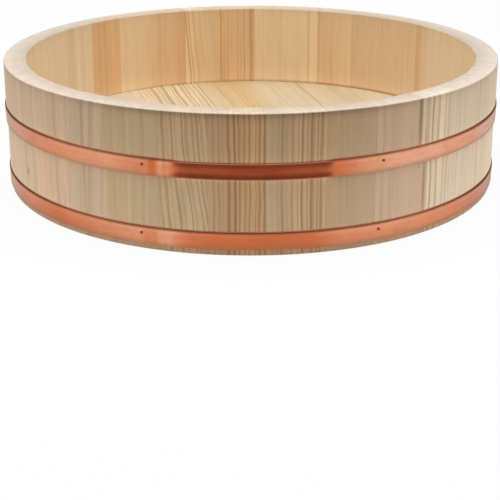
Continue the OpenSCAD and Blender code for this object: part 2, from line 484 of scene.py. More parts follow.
def copper_material(name):
    """Rolled copper strip with a satin face, fine lines along it, handling marks and tarnish with painted
    reflections. A point's strip is its way round the hoop, its height and its tarnish with painted
    reflections, which is pale below 0, dull at 1 and darker above, where a dark reflection is painted.
    Its place is how far it is in the painted shade of the upper edge, in a painted highlight and in the
    painted shade and reflection of the lower edge."""
    t = Tree(bpy.data.materials.new(name))
    way, height, tarnish_and_reflection = t.split(t.attribute("strip"))
    upper_edge_shade, painted_highlight, lower_edge_shade = t.split(t.attribute("place"))
    lines = t.noise(t.join(t.times(way, 0.02), height, 0.0), scale=5200.0)
    streaks = t.noise(t.join(t.times(way, 0.06), height, 0.0), scale=700.0)
    face = t.join(way, t.times(height, 1.6), 0.0)
    clouds = t.noise(face, scale=55.0, detail=3.0)
    smudges = t.step(t.noise(face, scale=210.0), 0.52, 0.72)
    specks = t.step(t.noise(face, scale=1500.0, detail=1.0), 0.68, 0.78)

    paleness = t.times(tarnish_and_reflection, -2.0, clamp=True)
    warmth = t.times(tarnish_and_reflection, 2.5, clamp=True)
    dullness = t.line(tarnish_and_reflection, 1.667, -0.667, clamp=True)
    reflected_dark = t.math("SUBTRACT", tarnish_and_reflection, 1.0, clamp=True)
    brownness = t.times(tarnish_and_reflection, 2.0, clamp=True)
    colour = t.mix(paleness, t.mix(clouds, *CLEAN_COPPER), t.mix(clouds, *PALE_COPPER))
    colour = t.mix(warmth, colour, t.mix(clouds, *WARM_COPPER))
    colour = t.mix(dullness, colour, t.mix(clouds, *DULL_COPPER))
    # Painted dark reflection, darker than the dullest copper
    colour = t.tinted(colour, t.line(reflected_dark, -0.5, 1.0))
    colour = t.tinted(colour, t.spread(lines, 0.90, 1.10))
    colour = t.tinted(colour, t.spread(streaks, 0.88, 1.12))
    colour = t.mix(t.times(smudges, 0.14), colour, SMUDGE_COLOUR)
    colour = t.mix(t.times(specks, 0.20), colour, SPECK_COLOUR)
    # Painted highlight, painted shade and reflection at the lower edge, and painted shade at the upper
    # edge
    colour = t.mix(painted_highlight, colour, HIGHLIGHT_COPPER)
    colour = t.mix(lower_edge_shade, colour, t.mix(brownness, *LOWER_EDGE_SHADE_COLOURS))
    colour = t.mix(upper_edge_shade, colour, UPPER_EDGE_SHADE_COLOUR)

    rough = t.line(clouds, 0.16, 0.30)
    rough = t.line(smudges, 0.08, rough)
    rough = t.line(lines, 0.06, rough)
    return t.principled({
        "Base Color": colour,
        "Metallic": 1.0,
        "Specular Tint": GRAZING_TINT,
        "Roughness": rough,
        "Normal": t.bump(lines, strength=0.10, distance=0.06 * MM),
    })


def steel_material(name):
    """Small nails of dark, oxidised steel."""
    t = Tree(bpy.data.materials.new(name))
    place = t.node("ShaderNodeTexCoord").outputs["Object"]
    rust = t.noise(place, scale=1400.0, detail=3.0)
    return t.principled({
        "Base Color": t.mix(rust, (0.22, 0.048, 0.010), (0.40, 0.110, 0.028)),
        "Metallic": 0.6,
        "Roughness": t.spread(rust, 0.45, 0.65),
        "Normal": t.bump(rust, strength=0.3, distance=0.1 * MM),
    })


def bamboo_material(name):
    """Split bamboo, with its fibre bundles."""
    t = Tree(bpy.data.materials.new(name))
    place = t.node("ShaderNodeTexCoord").outputs["Object"]
    bundles = t.noise(place, scale=1500.0)
    shade = t.noise(place, scale=90.0)
    colour = t.mix(bundles, (0.66, 0.50, 0.24), (0.46, 0.31, 0.13))
    return t.principled({
        "Base Color": t.tinted(colour, t.spread(shade, 0.85, 1.15)),
        "Roughness": t.spread(bundles, 0.45, 0.65),
        "Normal": t.bump(bundles, strength=0.3, distance=0.2 * MM),
    })


def floor_material(name):
    """A pale floor that the camera and the metal see as white, with a light shadow left on it."""
    t = Tree(bpy.data.materials.new(name))
    light = t.node("ShaderNodeLightPath").outputs
    seen = t.math("MAXIMUM", light["Is Camera Ray"], light["Is Glossy Ray"])
    seen = t.math("MAXIMUM", seen, light["Is Transmission Ray"])
    place = t.node("ShaderNodeTexCoord").outputs["Object"]
    paper = t.spread(t.noise(place, scale=3.0, detail=3.0), 0.86, 0.90)
    matte = t.node("ShaderNodeBsdfDiffuse", {"Color": paper})
    white = t.node("ShaderNodeEmission", {"Color": (1.0, 1.0, 1.0), "Strength": 1.0})
    share = t.times(seen, 0.94)
    mixed = {0: share, 1: matte.outputs[0], 2: white.outputs[0]}
    return t.surface(t.node("ShaderNodeMixShader", mixed))


# Wood pieces

class Look:
    """How a board was cut from its tree: its tone, its rings and its pith. The tone and the contrast
    of the rings may be lists of stops, evenly from the left edge to the right. The outside of a
    stave may have a tone of its own. A dark mark, such as a knot, is its way to the right of the
    middle, its height, half its width, half its length and its strength. Pale sapwood may lie to
    the right of a mark, above the upper hoop."""

    def __init__(self, tone, ring, contrast, pith, lean=(0, 0), outside=None, mark=None, sapwood=None):
        self.tones = np.array(tone if isinstance(tone, list) else [tone])
        self.outside = outside and Vector(outside)
        self.ring = ring
        self.contrasts = np.array(contrast if isinstance(contrast, list) else [contrast])
        self.pith = pith
        self.lean = lean
        self.mark = mark
        self.sapwood = sapwood and Vector(sapwood)

    def tone(self, share):
        """The colour at a share of the way from the left edge to the right."""
        stops = np.linspace(0, 1, len(self.tones))
        return Vector([np.interp(share, stops, channel) for channel in self.tones.T])

    def contrast(self, shares):
        """The contrast of the rings at such shares."""
        return np.interp(shares, np.linspace(0, 1, len(self.contrasts)), self.contrasts)


# Tones of the wood
PALE = linear(202, 177, 150)
BEIGE = linear(199, 171, 141)
STRAW = linear(197, 172, 136)
TAN = linear(193, 163, 127)
BROWN = linear(190, 155, 116)
ROSE = linear(207, 178, 150)
CREAM = linear(216, 197, 171)
MILK = linear(226, 204, 175)
IVORY = linear(206, 184, 150)
ASH = linear(188, 168, 140)
DUN = linear(188, 161, 127)
AMBER = linear(184, 149, 110)
SMOKE = linear(179, 160, 132)
KHAKI = linear(178, 151, 112)
BOTTOM = linear(210, 192, 159)
CHALK = linear(213, 199, 171)
HONEY = linear(206, 178, 132)
WHEAT = linear(205, 183, 148)
RIM = linear(206, 191, 170)
WORN_RIM = linear(205, 193, 183)


def streaked(tone, share, streak):
    """Stops of a tone with a thin streak of another at a share of the way to the right."""
    stops = [tone] * 19
    stops[round(share * (len(stops) - 1))] = streak
    return stops


# Looks of the staves, by number, matched to the sides that the photograph shows. A row gives the
# tone, the ring width, the contrast and the pith, and then what only some staves have. Ring width,
# pith and mark are in millimetres: the pith lies to the right of the stave's middle and outwards
# from its face. The lean is how far it moves to the right and outwards in a millimetre of height.
STAVE_LOOKS = {
    1: Look([STRAW, TAN, TAN], 2.8, [0.3, 0.5, 0.9, 0.9, 0.9], (90, -20)),
    2: Look([TAN, BEIGE], 5.0, [0.3, 0.1], (-80, -30)),
    3: Look(ROSE, 5.5, [0.35, 0.15], (70, -40), mark=(14.0, 80, 2.6, 50, 1.0), sapwood=MILK),
    4: Look(CREAM, 4.6, [0.9, 1.0, 1.0, 0.7, 0.4], (-90, -25), mark=(-14.5, 30, 3.4, 44, 1.0)),
    5: Look(CREAM, 5.0, 0.35, (70, -20)),
    6: Look(CREAM, 4.0, 0.3, (-60, -30)),
    7: Look(IVORY, 4.0, 0.25, (60, -40), outside=CREAM),
    8: Look(ASH, 4.5, 0.25, (70, -30), outside=PALE),
    9: Look(ASH, 5.0, 0.1, (-70, -40), outside=CREAM),
    10: Look(ASH, 5.0, 0.1, (80, -30), outside=BEIGE),
    11: Look([ASH] * 5 + [DUN] * 2 + [KHAKI] * 2, 4.5, 0.1, (70, -40), outside=PALE),
    12: Look(DUN, 5.0, 0.12, (80, -30)),
    13: Look(DUN, 5.0, 0.1, (-60, -50)),
    14: Look([STRAW, TAN], 6.0, [0.1, 0.1, 0.5], (90, -20)),
    15: Look(streaked(IVORY, 0.28, TAN), 4.0, 0.1, (70, -40)),
    16: Look(IVORY, 5.0, 0.12, (-80, -30)),
    17: Look([BROWN, TAN, TAN, TAN, BROWN], 4.2, 0.65, (-90, -10)),
    18: Look(STRAW, 3.6, [0.1, 0.2, 0.8, 1.0], (-90, -20), lean=(0.06, 0.0)),
    19: Look([BROWN, TAN, TAN], 6.0, 0.2, (80, -40)),
    20: Look(STRAW, 5.0, 0.1, (-60, -60)),
    21: Look([BROWN, BROWN, AMBER, AMBER, AMBER], 5.0, 0.2, (70, -40)),
    22: Look([ASH] * 10 + [PALE, ASH, ASH] + [SMOKE] * 6, 6.0, [0.1, 0.1, 0.3], (-80, -20)),
    23: Look(ASH, 5.0, 0.15, (70, -30), outside=STRAW),
    24: Look(ASH, 4.0, 0.15, (-70, -30), outside=PALE),
    25: Look(ASH, 4.5, 0.15, (60, -40), outside=BEIGE),
    26: Look(PALE, 4.0, 0.3, (60, -30)),
    27: Look(PALE, 4.0, 0.3, (60, -30)),
    28: Look(PALE, 5.0, 0.45, (-70, -20), mark=(4.0, 26.5, 3.4, 5.6, 0.72)),
    29: Look(ROSE, 6.0, 0.4, (80, -40)),
    30: Look(streaked(PALE, 0.45, DUN), 7.0, 0.4, (70, -30), lean=(0.06, 0.0)),
    31: Look(streaked(STRAW, 0.46, IVORY), 5.0, [0.4, 0.4, 0.3], (-80, -20)),
    32: Look(STRAW, 2.9, [0.7, 0.8, 0.7], (38, -26), lean=(0.0, 0.2)),
    33: Look([TAN, BROWN, BROWN], 2.8, [0.4, 0.7, 0.9, 0.9, 0.9, 0.9], (95, -15)),
}

# Looks of the bottom's boards, from the left to the right, in the same order
BOARD_LOOKS = [
    Look(BOTTOM, 3.6, [0.4, 0.2], (120, -30)),
    Look([CHALK] * 3 + [BOTTOM] * 4, 3.7, [0.15, 0.15, 0.25, 0.9, 1.0, 1.0, 0.9], (-150, -25)),
    Look([BOTTOM, HONEY, HONEY, BOTTOM, BOTTOM, BOTTOM], 6.5, [0.4, 0.2, 0.15], (130, -45)),
    Look([BOTTOM, WHEAT, BOTTOM, BOTTOM, BOTTOM], 4.5, 0.3, (120, -20)),
]


def chance_look(draw):
    """A look for a stave that has none in the list."""
    side = draw.choice([-1, 1])
    return Look(
        draw.choice([PALE, BEIGE, STRAW, TAN, CREAM]),
        ring=draw.uniform(2.7, 6.5),
        contrast=[draw.uniform(0.1, 0.8), draw.uniform(0.1, 0.8)],
        pith=(side * draw.uniform(20, 90), -draw.uniform(15, 50)),
        lean=(draw.uniform(-0.06, 0.06), draw.uniform(-0.06, 0.06)),
    )


def write_wood(mesh, look, seed, local, tones, places):
    """Gives each point of a wooden piece its grain, look, tone and place. Local holds the points
    across the board, out of its face and along it."""
    grain = np.array(local, float)
    across, along = grain[:, 0].copy(), grain[:, 2].copy()
    grain[:, 0] -= look.pith[0] * MM + look.lean[0] * along
    grain[:, 1] -= look.pith[1] * MM + look.lean[1] * along
    contrast = look.contrast((across - across.min()) / (across.max() - across.min()))
    write_vectors(mesh, "grain", grain)
    write_vectors(mesh, "look", [(look.ring * MM, value, seed) for value in contrast])
    write_vectors(mesh, "tone", tones)
    write_vectors(mesh, "place", places)
    if look.mark:
        beside, high, half_width, half_length = [value * MM for value in look.mark[:4]]
        marks = []
        for x, out, z in local:
            strength = look.mark[4] if out > (INNER_R - RIM_R) / 2 else 0.0
            marks.append(((x - beside) / half_width, (z - high) / half_length, strength))
        write_vectors(mesh, "mark", marks)


def wall_outline():
    """The wall's upright section, anticlockwise, as points of (radius, height, painted gap shade,
    end grain, painted corner shade, inside)."""

    def kind(points, gap_shade=0, end_grain=0, corner=0, inside=0):
        """Points that are alike but for their places."""
        return [(r, z, gap_shade, end_grain, corner, inside) for r, z in points]

    lip = 0.12 * MM
    gap_edge = 0.05 * MM
    gap_fade = 0.55 * MM
    seat_dip = 0.02 * MM
    close = [0.9 * MM, 1.5 * MM, 3.0 * MM, 6.0 * MM]
    outline = kind([(INNER_R, 0)], end_grain=1, inside=1)
    outline += kind([(FOOT_R - FOOT_BEVEL, 0)], end_grain=1)
    outline += kind([(FOOT_R, FOOT_BEVEL), (FOOT_R, HOOP_LOW["lower_hoop"])])
    for name, top in (("lower_hoop", HOOP_LOW["upper_hoop"]), ("upper_hoop", HEIGHT - RIM_EASE)):
        above = HOOP_TOP_R[name]
        under = above - SHOULDER
        shoulder = HOOP_HIGH[name] + SHOULDER_GAP
        gap_low = shoulder - 2 * SHOULDER_GAP
        outline += kind([(under - seat_dip, gap_low)])
        # Points in the painted shade of the gap above the hoop
        outline += kind([(under - seat_dip, gap_low + gap_edge), (under, shoulder)], gap_shade=1)
        outline += kind(arc((above - lip, shoulder + lip), lip, -90, 0, 3), gap_shade=0.6)
        outline += kind([(above, shoulder + lip + gap_fade)])
        outline += kind([(above, shoulder + rise) for rise in close])
        outline += kind([(above, top - drop) for drop in reversed(close)])
        if name == "lower_hoop":
            outline += kind([(above, top)])

    eased_r, eased_z = RIM_R - RIM_EASE, HEIGHT - RIM_EASE
    rim_band = 2.5 * MM
    for k, point in enumerate(arc((eased_r, eased_z), RIM_EASE, 0, 90, 6)):
        outline += kind([point], end_grain=k / 6)
    outline += kind([(RIM_R - rim_band, HEIGHT)], end_grain=1)
    for k, point in enumerate(arc((INNER_R + RIM_EASE, eased_z), RIM_EASE, 90, 180, 6)):
        outline += kind([point], end_grain=1 - k / 6, inside=1)
    outline += kind([(INNER_R, eased_z - drop * MM) for drop in (1, 3, 9, 20)], inside=1)
    outline += kind([(INNER_R, CROZE_HIGH + rise * MM) for rise in (22, 15, 10, 6, 2)], inside=1)
    groove_r = INNER_R + CROZE_DEPTH
    outline += kind([(INNER_R, CROZE_HIGH), (groove_r, CROZE_HIGH)], corner=1, inside=1)
    outline += kind([(groove_r, CROZE_LOW), (INNER_R, CROZE_LOW)], corner=1, inside=1)
    return outline


# Tints of the staves by place, most of them painted light and shade, and how far the painted shade under
# the rim, the painted highlight above the hoops and the painted shade under the upper hoop reach
WHITE = Vector((1.0, 1.0, 1.0))
INSIDE_LIGHT_TINT = Vector((1.39, 1.375, 1.34))
TOWARDS_RIM_TINT = Vector((0.99, 0.94, 0.87))
LIP_HIGHLIGHT_TINT = Vector((1.15, 1.09, 1.05))
UNDER_HOOP_SHADE_TINT = Vector((1.00, 0.85, 0.76))
HALO_HIGHLIGHT_TINT = Vector((1.55, 1.40, 1.36))
FOOT_SHADE_TINT = Vector((0.95, 0.80, 0.69))
FLOOR_BOUNCE_TINT = Vector((1.24, 1.28, 1.38))
RIM_OUTER_HIGHLIGHT_TINT = Vector((1.16, 1.17, 1.20))
RIM_INNER_SHADE_TINT = Vector((0.93, 0.91, 0.87))
RIM_SHADE_REACH = 2.9 * MM
LIP_HIGHLIGHT_REACH = 1.2 * MM
UNDER_HOOP_SHADE_REACH = 1.4 * MM


def outside_shade(turn, z):
    """The painted light and shade of the wall's outside at a place: paler towards the foot, with painted
    shade towards the rim, a painted highlight above the hoops, and painted shade with reflected copper
    colour just under the upper one. A painted highlight lies round the upper hoop in its stretch of
    painted dark reflection, and above it at the sides."""
    # Painted shade under the rim's edge, strongest at the front
    rim_shade = 0.42 - 0.24 * eased_step(abs(sin(turn)), 0.35, 0.68)
    rim_shade *= exp(-((HEIGHT - z) / RIM_SHADE_REACH) ** 2)
    # Painted light from the floor: paler towards the foot
    shade = WHITE * (1.18 - 0.35 * z / HEIGHT) * (1 - rim_shade)
    for name in HOOPS:
        dark_stretch = dark_reflection(name, turn)
        bright = max(dark_stretch, beside_front(turn)) if name == "upper_hoop" else 0.0
        above = z - HOOP_HIGH[name] - SHOULDER_GAP
        if above >= 0:
            # Painted highlight along the lip above each hoop
            painted_highlight = LIP_HIGHLIGHT_TINT.lerp(HALO_HIGHLIGHT_TINT, 0.6 * bright)
            shade *= WHITE.lerp(painted_highlight, exp(-above / LIP_HIGHLIGHT_REACH))
        below = HOOP_LOW[name] - z
        if below >= 0 and name == "upper_hoop":
            # Painted shade and reflected copper colour under the upper hoop, a painted highlight in its
            # dark-reflection stretch
            painted_shade = UNDER_HOOP_SHADE_TINT.lerp(HALO_HIGHLIGHT_TINT, dark_stretch)
            shade *= WHITE.lerp(painted_shade, exp(-below / UNDER_HOOP_SHADE_REACH))
    return shade


def inside_shade(z):
    """The painted light of the wall's inside at a height: brighter than the outside, with painted shade
    towards the rim and painted bounce light at the bottom.
    """
    drop, rise = (HEIGHT - z) / MM, (z - BOTTOM_TOP) / MM
    # Painted light inside, with painted shade under the rim
    shade = INSIDE_LIGHT_TINT * (1.01 - 0.06 * exp(-drop / 12) - 0.12 * exp(-drop / 1.5))
    # Painted bounce light near the bottom
    return shade * WHITE.lerp(FLOOR_BOUNCE_TINT, exp(-max(rise, 0) / 8))


def stave_tone(tone, outside, turn, r, z, end_grain, inside):
    """The colour of a stave at a place. Its sides differ, the inside by painted light, its foot has
    painted shade, and its end grain is pale, with a painted highlight along its outer edge and painted
    shade along its inner one. Inside the front the staves' tones are more alike."""
    # Part of the painted light: the outside turns yellower towards the rim
    face = outside * WHITE.lerp(TOWARDS_RIM_TINT, z / HEIGHT)
    if z <= HOOP_LOW["lower_hoop"]:
        # Painted shade on the foot, darkest at the tub's sides
        painted_shade = 1 - 0.25 * eased_step(abs(sin(turn)), 0.4, 0.9)
        face = outside.lerp(Vector(BEIGE), 0.7) * FOOT_SHADE_TINT * painted_shade
    alike = 0.6 * eased_step(cos(turn), 0.2, 0.6)
    within = tone.lerp(Vector(STRAW), alike) * inside_shade(z)
    face = (face * outside_shade(turn, z)).lerp(within, inside)
    rim = tone.lerp(Vector(RIM).lerp(Vector(WORN_RIM), abs(sin(turn))), 0.75)
    # Painted highlight along the rim's outer edge, painted shade towards its inner one
    rim *= RIM_INNER_SHADE_TINT.lerp(RIM_OUTER_HIGHLIGHT_TINT, (r - INNER_R) / (RIM_R - INNER_R))
    return face.lerp(rim, end_grain)


def shoulder_shift(turn, z):
    """How far a stave's shoulder at a height lies from its place above its hoop. It is lower in the
    upper hoop's stretch of painted dark reflection, and the gaps open a little towards the sides."""
    for name in HOOPS:
        if 0.5 < (z - HOOP_HIGH[name]) / SHOULDER_GAP < 2.3:
            closed = CLOSED_SHARE * SHOULDER_GAP * dark_reflection(name, turn)
            return SIDE_GAP[name] * beside_front(turn) - closed
    return 0.0


def stave_span(node):
    """The angles of the two joints of a stave."""
    points = node_points(node)
    angles = np.arctan2(points[:, 0], -points[:, 1])
    middle = atan2(np.sin(angles).mean(), np.cos(angles).mean())
    turned = turn_between(angles, middle)
    return middle + turned.min(), middle + turned.max()


def make_stave(node, look, draw, material):
    """A planed stave: the wall's section swept between its two joints. Its edges are eased at the
    joints, and its face and its rim lie a little inside the CAD solid, by measures of its own."""
    start, end = stave_span(node)
    middle = (start + end) / 2
    outline = wall_outline()
    section = [point[:2] for point in outline]
    eased = inset(section, JOINT_EASE)
    ease_turn = JOINT_EASE_WIDTH / RIM_R
    inward = draw.uniform(0.0, FACE_PLAY)
    lower = draw.uniform(0.0, RIM_PLAY)
    turns = [start, start + ease_turn]
    turns += [start + (end - start) * k / STAVE_STEPS for k in range(1, STAVE_STEPS)]
    turns += [end - ease_turn, end]
    mid_wall = (INNER_R + RIM_R) / 2
    columns, local, tones, places = [], [], [], []
    for turn in turns:
        tone = look.tone((turn - start) / (end - start))
        outside = look.outside or tone
        beyond_mark = look.sapwood and RIM_R * sin(turn - middle) > look.mark[0] * MM
        closed = dark_reflection("upper_hoop", turn)
        # Painted shade in the croze corner, stronger towards the right side
        corner_shade = 0.8 + 0.9 * sin(turn)
        for r, z, gap_shade, end_grain, corner, inside in outline:
            face = look.sapwood if beyond_mark and z > HOOP_LOW["upper_hoop"] else outside
            tones.append(stave_tone(tone, face, turn, r, z, end_grain, inside))
            # The gap's painted shade grows towards the sides and is left out where the upper hoop's dark
            # reflection is painted
            gap_shade *= 1 + beside_front(turn) - (closed if z > HEIGHT / 2 else 0)
            places.append((gap_shade, end_grain, corner * corner_shade))
        column = []
        for r, z in eased if turn in (start, end) else section:
            r -= inward if r > mid_wall else 0
            z -= lower if z > HEIGHT / 2 else 0
            z += shoulder_shift(turn, z) if r > mid_wall else 0
            column.append(polar(turn, r, z))
            local.append((r * sin(turn - middle), r * cos(turn - middle) - RIM_R, z))
        columns.append(column)
    mesh = skin(node + "_wood", columns)
    write_wood(mesh, look, draw.uniform(0, 9), local, tones, places)
    piece(finished(mesh, sharp_angle=32), material, node)


def board_outline(radius, left, right):
    """The outline, across and along, of the part of a disc between two lines along it."""
    left = max(left, -radius)
    right = min(right, radius)
    far = []
    for k in range(BOARD_STEPS + 1):
        share = (1 - cos(pi * k / BOARD_STEPS)) / 2
        x = left + (right - left) * share
        far.append((x, sqrt(max(radius * radius - x * x, 0))))
    near = [(x, -y) for x, y in far]
    return near + far[::-1]


def make_board(node, number, look, draw, material):
    """A board of the bottom, with a tongue round its end that sits in the staves' groove."""
    lines = [-RIM_R] + BOARD_JOINTS + [RIM_R]
    left, right = lines[number], lines[number + 1]
    tongue_r = INNER_R + CROZE_DEPTH - BOTTOM_CLEAR
    cheek_r = INNER_R - BOTTOM_CLEAR
    bevel_r = cheek_r - (CROZE_LOW - BOTTOM_UNDER)
    levels = [
        (BOTTOM_UNDER, bevel_r, 0),
        (CROZE_LOW, cheek_r, 0),
        (CROZE_LOW, tongue_r, 0),
        (BOTTOM_TOP - BOARD_EASE, tongue_r, 0),
        (BOTTOM_TOP, tongue_r, BOARD_EASE),
    ]
    columns, local, tones, places = [], [], [], []
    turn = Matrix.Rotation(BOARD_TURN, 3, "Z")
    beside_joint = 0.5 * MM
    for z, radius, ease in levels:
        outline = board_outline(radius, left + ease, right - ease)
        columns.append([turn @ Vector((x, y, z)) for x, y in outline])
        local += [(x - (left + right) / 2, z - BOTTOM_TOP, y) for x, y in outline]
        tones += [look.tone((x - left) / (right - left)) for x, y in outline]
        places += [(0, 0, 0.8 if min(x - left, right - x) < beside_joint else 0) for x, y in outline]
    far = 2 * BOARD_STEPS + 1
    cap = [(k, k + 1, far - k - 1, far - k) for k in range(BOARD_STEPS)]
    mesh = skin(node + "_wood", columns, cap)
    write_wood(mesh, look, draw.uniform(0, 9), local, tones, places)
    piece(finished(mesh, sharp_angle=32), material, node)


# Copper pieces

def strip_face(name, z):
    """The radius of a strip's inner face at a height."""
    seat_height = HOOP_HIGH[name] - HOOP_LOW[name] + SHOULDER_GAP
    narrowing = SEAT_TAPER * (1 - (z - HOOP_LOW[name]) / seat_height)
    return HOOP_TOP_R[name] - SHOULDER - narrowing + HOOP_CLEAR


def nail_angles(hoop):
    """The angles of a hoop's nails, from the groups that their points make round the tub."""
    points = node_points(hoop + "_nails")
    angles = np.sort(np.arctan2(points[:, 0], -points[:, 1]))
    groups = np.split(angles, np.nonzero(np.diff(angles) > 0.1)[0] + 1)
    return [float(group.min() + group.max()) / 2 for group in groups]


def strip_turns(nails):
    """Angles along a strip from its hidden end to its outer one, closer together at nails."""
    lap_turn = LAP_LENGTH / RIM_R
    start = LAP_ANGLE - lap_turn / 2
    length = 2 * pi + lap_turn
    coarse = 760
    fine = 14
    fine_turn = 0.3 * MM / RIM_R
    turns = {start + length * k / coarse for k in range(coarse + 1)}
    for nail in nails:
        for k in range(-fine, fine + 1):
            place = nail + k * fine_turn
            while place < start:
                place += 2 * pi
            turns.add(place)
    return sorted(turns)


# How dull the hoops look, as stops of an angle from the front, in degrees, and a dullness. The
# stops paint the hoops' reflections into the copper's colour, as tarnish.
REFLECTION_DULLNESS = {
    "upper_hoop": [
        (-180, 0.2), (-150, 0.05), (-115, 0.25), (-85, 0.1), (-62, 0.0), (-55, 0.18), (-44, 0.18),
        (-37, 0.05), (-31, -0.05), (-24, 0.2), (-21, 0.28), (-20.3, 0.52), (-19.4, 0.52), (-18.5, 0.06),
        (-18, 0.02), (-17.4, 0.24), (-16.8, 0.14), (16, 0.46), (18, 0.38), (20, 0.28), (22, 0.14),
        (25, 0.0), (29, -0.3), (35, -0.4), (41, -0.4), (46, -0.1), (54, 0.0), (62, -0.4), (80, 0.1),
        (110, 0.25), (145, 0.05), (180, 0.2),
    ],
    "lower_hoop": [
        (-180, 0.1), (-140, 0.25), (-100, 0.2), (-70, 0.12), (-57, 0.24), (-46, 0.42), (-38, 0.3),
        (-32, 0.16), (-26, 0.12), (-23.5, 0.06), (-22.5, 0.04), (-21.8, 0.2), (-20.5, 0.2), (-19.6, 0.26),
        (-18.4, -0.05), (-16.4, -0.05), (-14.2, 0.26), (-12, 0.42), (0, 0.5), (10, 0.56), (14, 0.38),
        (20, 0.14), (30, 0.08), (40, 0.16), (50, 0.25), (60, 0.22), (95, 0.2), (135, 0.1), (180, 0.1),
    ],
}


def reflection_dullness_at(name, angle):
    """How dull a hoop is painted at an angle, by its painted reflections: most of all in its stretch of
    painted dark reflection.
    """
    front = degrees(turn_between(angle, 0))
    rest = float(np.interp(front, *zip(*REFLECTION_DULLNESS[name])))
    most = 1 - 0.14 * (front / 13) ** 2
    return rest + (most - rest) * dark_reflection(name, angle)


def strip_outline(low, high):
    """A strip's section with rolled outer edges, as points of (depth from its inner face, height)."""
    face_rows = 20
    edge_rows = 4
    edge_depth = STRIP_THICK - STRIP_EDGE
    face_low = low + STRIP_EDGE
    face_high = high - STRIP_EDGE
    outline = [(0, low)]
    outline += arc((edge_depth, face_low), STRIP_EDGE, -90, 0, edge_rows)
    for k in range(1, face_rows):
        outline.append((STRIP_THICK, face_low + (face_high - face_low) * k / face_rows))
    outline += arc((edge_depth, face_high), STRIP_EDGE, 0, 90, edge_rows)
    outline.append((0, high))
    return outline


def dimple(turn, z, nails, nail_z):
    """How deep the nails have pressed a strip in at a place."""
    depth = 0.0
    for nail in nails:
        away = hypot(turn_between(turn, nail) * RIM_R, z - nail_z)
        depth += DIMPLE_DEPTH * exp(-((away / DIMPLE_RADIUS) ** 2))
    return depth


def strip_tarnish_and_reflection(name, dullness, dark_stretch, drop, rise):
    """The tarnish with painted reflections of a strip some millimetres below its upper edge and above
    its lower one: its dullness, with a painted dark reflection along both edges in the stretch where
    the upper hoop's dark reflection is painted. The lower hoop is duller towards its lower edge."""
    # Painted dark reflection along both edges in the dark-reflection stretch
    reflected_dark = 0.8 * (1 - eased_step(drop, 1.2, 4.0)) + 1 - eased_step(rise, 1.5, 4.2)
    fade = 0.2 * (0.5 - rise / (drop + rise)) if name == "lower_hoop" else 0.0
    return dullness + reflected_dark * dark_stretch + fade


def strip_place(dullness, dark_stretch, drop, rise):
    """How far such a place is in the painted shade of the upper edge, in a painted highlight and in the
    painted shade and reflection of the lower edge. In the stretch of painted dark reflection, both
    edges carry a painted highlight instead."""
    upper_edge_shade = 0.55 * (1 - eased_step(drop, 0.3, 1.2))
    painted_highlight = 0.5 * eased_step(drop, 0.9, 1.4) * (1 - eased_step(drop, 1.5, 2.8))
    painted_highlight *= min(max(1 - 2 * dullness, 0), 1)
    edge_highlight = 0.5 * (2 - eased_step(rise, 0.3, 0.9) - eased_step(drop, 0.2, 0.8))
    lower_edge_shade = 0.85 * (1 - eased_step(rise, 0.0, 3.3))
    rest = 1 - dark_stretch
    return (upper_edge_shade * rest, painted_highlight * rest + edge_highlight * dark_stretch, lower_edge_shade * rest)


def make_hoop(name, material):
    """A copper strip bent round its seat, with its far end lapped over its near one, slight waves
    and a dimple round each nail."""
    low, high = HOOP_LOW[name], HOOP_HIGH[name]
    nails = nail_angles(name)
    turns = strip_turns(nails)
    lap_start = turns[-1] - LAP_LENGTH / RIM_R
    outline = strip_outline(low, high)
    columns, strip, places = [], [], []
    for turn in turns:
        lift = STRIP_THICK * eased_step(turn, lap_start - LAP_RISE / RIM_R, lap_start)
        wave = 0.5 + 0.25 * sin(23 * turn) + 0.25 * sin(41 * turn + 1.3)
        dullness = reflection_dullness_at(name, turn)
        dark_stretch = dark_reflection(name, turn)
        column = []
        for depth, z in outline:
            r = strip_face(name, z) + depth + lift - STRIP_WAVE * wave
            r -= dimple(turn, z, nails, high - NAIL_DROP) if depth > STRIP_THICK / 2 else 0
            column.append(polar(turn, r, z))
            drop, rise = (high - z) / MM, (z - low) / MM
            strip.append((turn * RIM_R, z, strip_tarnish_and_reflection(name, dullness, dark_stretch, drop, rise)))
            places.append(strip_place(dullness, dark_stretch, drop, rise))
        columns.append(column)
    mesh = skin(name + "_copper", columns)
    write_vectors(mesh, "strip", strip)
    write_vectors(mesh, "place", places)
    piece(finished(mesh, sharp_angle=40), material, name)


def turned_pin(points, at, axis, steps):
    """Points and faces of a pin turned about an axis. Its outline's points are (radius, height),
    from its tip to the middle of its head, which both lie on the axis."""
    across = axis.orthogonal().normalized()
    beside = axis.cross(across)
    made = [at + axis * points[0][1]]
    faces = []
    for radius, height in points[1:-1]:
        for k in range(steps):
            angle = 2 * pi * k / steps
            outwards = across * cos(angle) + beside * sin(angle)
            made.append(at + axis * height + outwards * radius)
    made.append(at + axis * points[-1][1])
    last = len(made) - 1
    for k in range(steps):
        after = (k + 1) % steps
        faces.append((0, 1 + after, 1 + k))
        for ring in range(len(points) - 3):
            a = 1 + ring * steps
            faces.append((a + k, a + after, a + steps + after, a + steps + k))
        a = last - steps
        faces.append((a + k, a + after, last))
    return made, faces


def dome(radius, height, steps):
    """The outline of a low domed head, from its edge to its middle."""
    outline = []
    for k in range(steps + 1):
        angle = pi / 2 * k / steps
        outline.append((radius * cos(angle), height * (0.3 + 0.7 * sin(angle))))
    outline[-1] = (0.0, height)
    return [(radius, 0.0)] + outline


